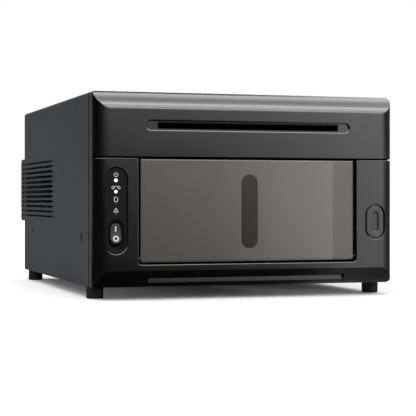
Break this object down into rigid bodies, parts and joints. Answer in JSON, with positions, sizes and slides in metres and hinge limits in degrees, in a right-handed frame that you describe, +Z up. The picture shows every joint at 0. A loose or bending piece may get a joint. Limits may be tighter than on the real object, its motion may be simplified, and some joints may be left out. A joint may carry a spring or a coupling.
{
  "type": "photo printer",
  "caption": "Compact roll-fed photo printer with a steel cover, a bottom-hinged front door, a paper slot and its roller, ribbon and cutter works inside.",
  "frame": {"origin": "on the resting plane under the middle of the case, which is the middle of the bounding box at its bottom", "axes": "+X to the right seen from the front, +Y from the front face towards the back, +Z up"},
  "size_m": [0.275, 0.366, 0.178],
  "materials": {
    "painted_steel": "fine satin paint",
    "zinc_sheet": "plain zinc-coated sheet",
    "gloss_black": "polished black moulding",
    "door_grey": "polished warm grey moulding",
    "window_smoke": "smoked window",
    "dark_matte": "fine matt moulding",
    "button_grey": "satin moulding",
    "lamp_clear": "diffusing lens",
    "board_green": "solder mask",
    "white_moulding": "natural white moulding",
    "bright_steel": "ground steel",
    "roller_rubber": "ground rubber",
    "motor_grey": "matt painted steel",
    "brass": "turned brass",
    "head_alloy": "extruded heat sink",
    "film_dye": "dyed film",
    "paper_white": "coated paper",
    "core_grey": "moulded hub"
  },
  "bodies": {
    "case": {"base_pan": "zinc_sheet", "cover": "painted_steel", "rear_panel": "painted_steel", "rear_cowl": "painted_steel", "upper_shell": "gloss_black", "lower_shell": "gloss_black", "left_frame": "zinc_sheet", "right_frame": "zinc_sheet", "top_shelf": "zinc_sheet", "feet": "roller_rubber", "case_screws": "bright_steel", "control_panel": "dark_matte", "status_lamps": "lamp_clear", "lamp_board": "board_green", "switch_body": "dark_matte", "latch_bracket": "zinc_sheet", "exit_chute": "dark_matte", "drive_belt": "roller_rubber", "cutter_bed": "zinc_sheet", "feed_motor": "motor_grey", "ribbon_web": "film_dye", "ribbon_cassette": "white_moulding", "ribbon_motor": "motor_grey", "lift_motor": "motor_grey", "roll_brackets": "zinc_sheet", "main_board": "board_green", "power_supply": "zinc_sheet", "power_inlet": "dark_matte", "data_socket": "bright_steel", "fan_housing": "dark_matte"},
    "door": {"door_face": "door_grey", "door_window": "window_smoke", "door_frame": "dark_matte", "door_hinge_pins": "bright_steel", "door_striker": "bright_steel"},
    "button": {"door_button": "button_grey", "button_spring": "bright_steel"},
    "crank": {"latch_crank": "white_moulding"},
    "rocker": {"power_rocker": "dark_matte"},
    "exit_drive": {"exit_roller": "roller_rubber"},
    "exit_free": {"exit_idler": "bright_steel"},
    "platen": {"platen_roller": "roller_rubber"},
    "grip": {"grip_roller": "bright_steel", "grip_gear": "white_moulding"},
    "pinch": {"pinch_roller": "bright_steel"},
    "feed_shaft": {"motor_pinion": "brass"},
    "takeup": {"takeup_spool": "white_moulding", "takeup_film": "film_dye", "takeup_gear": "white_moulding"},
    "ribbon_shaft": {"ribbon_pinion": "brass"},
    "supply": {"supply_spool": "white_moulding", "supply_film": "film_dye"},
    "head": {"print_head": "head_alloy", "head_carrier": "zinc_sheet"},
    "cams": {"cam_shaft": "bright_steel"},
    "roll": {"paper_roll": "paper_white", "roll_spindle": "core_grey"},
    "fan": {"fan_rotor": "dark_matte"},
    "carriage": {"cutter_carriage": "white_moulding"},
    "blade": {"cutter_wheel": "bright_steel"}
  },
  "joints": [
    {"name": "door_hinge", "type": "hinge", "parent": "case", "child": "door", "pos_m": [0, -0.1782, 0.0351], "axis": [1, 0, 0], "range_deg": [0, 95]},
    {"name": "button_slide", "type": "slide", "parent": "case", "child": "button", "axis": [0, 1, 0], "range_m": [0, 0.0025], "stiffness_N_per_m": 600, "springref_m": -0.002, "deforming": ["button_spring"]},
    {"name": "crank_pivot", "type": "hinge", "parent": "case", "child": "crank", "pos_m": [0.104, -0.155, 0.0655], "axis": [0, 0, 1], "range_deg": [0, 10]},
    {"name": "rocker_pivot", "type": "hinge", "parent": "case", "child": "rocker", "pos_m": [-0.1194, -0.1748, 0.0559], "axis": [1, 0, 0], "range_deg": [0, 16]},
    {"name": "exit_spin", "type": "hinge", "parent": "case", "child": "exit_drive", "pos_m": [0, -0.153, 0.13492], "axis": [1, 0, 0], "continuous": true},
    {"name": "exit_free_spin", "type": "hinge", "parent": "case", "child": "exit_free", "pos_m": [0, -0.153, 0.14422], "axis": [1, 0, 0], "continuous": true},
    {"name": "platen_spin", "type": "hinge", "parent": "case", "child": "platen", "pos_m": [0, -0.078, 0.129], "axis": [1, 0, 0], "continuous": true},
    {"name": "grip_spin", "type": "hinge", "parent": "case", "child": "grip", "pos_m": [0, -0.023, 0.11285], "axis": [1, 0, 0], "continuous": true},
    {"name": "pinch_spin", "type": "hinge", "parent": "case", "child": "pinch", "pos_m": [0, -0.023, 0.12415], "axis": [1, 0, 0], "continuous": true},
    {"name": "feed_motor_spin", "type": "hinge", "parent": "case", "child": "feed_shaft", "pos_m": [-0.1, 0.012, 0.11285], "axis": [1, 0, 0], "continuous": true},
    {"name": "takeup_spin", "type": "hinge", "parent": "case", "child": "takeup", "pos_m": [0, -0.121, 0.082], "axis": [1, 0, 0], "continuous": true},
    {"name": "ribbon_motor_spin", "type": "hinge", "parent": "case", "child": "ribbon_shaft", "pos_m": [0.105, -0.095, 0.082], "axis": [1, 0, 0], "continuous": true},
    {"name": "supply_spin", "type": "hinge", "parent": "case", "child": "supply", "pos_m": [0, -0.035, 0.082], "axis": [1, 0, 0], "continuous": true},
    {"name": "head_rise", "type": "slide", "parent": "case", "child": "head", "axis": [0, 0, 1], "range_m": [0, 0.0026]},
    {"name": "cam_turn", "type": "hinge", "parent": "case", "child": "cams", "pos_m": [0, -0.078, 0.034], "axis": [1, 0, 0], "range_deg": [0, 180]},
    {"name": "roll_spin", "type": "hinge", "parent": "case", "child": "roll", "pos_m": [0, 0.067, 0.069], "axis": [1, 0, 0], "continuous": true},
    {"name": "fan_spin", "type": "hinge", "parent": "case", "child": "fan", "pos_m": [0.058, 0.151, 0.0958], "axis": [0, 1, 0], "continuous": true},
    {"name": "cutter_slide", "type": "slide", "parent": "case", "child": "carriage", "axis": [1, 0, 0], "range_m": [-0.085, 0.085]},
    {"name": "blade_spin", "type": "hinge", "parent": "carriage", "child": "blade", "pos_m": [0, -0.124, 0.13852], "axis": [0, 1, 0], "continuous": true}
  ],
  "couplings": [
    {"joint": "crank_pivot", "follows": "button_slide", "rad_per_m": 68.966},
    {"joint": "feed_motor_spin", "follows": "grip_spin", "ratio": -4},
    {"joint": "exit_spin", "follows": "grip_spin", "ratio": 1.2},
    {"joint": "ribbon_motor_spin", "follows": "takeup_spin", "ratio": -3.3333},
    {"joint": "cam_turn", "follows": "head_rise", "rad_per_m": 1208.3}
  ]
}
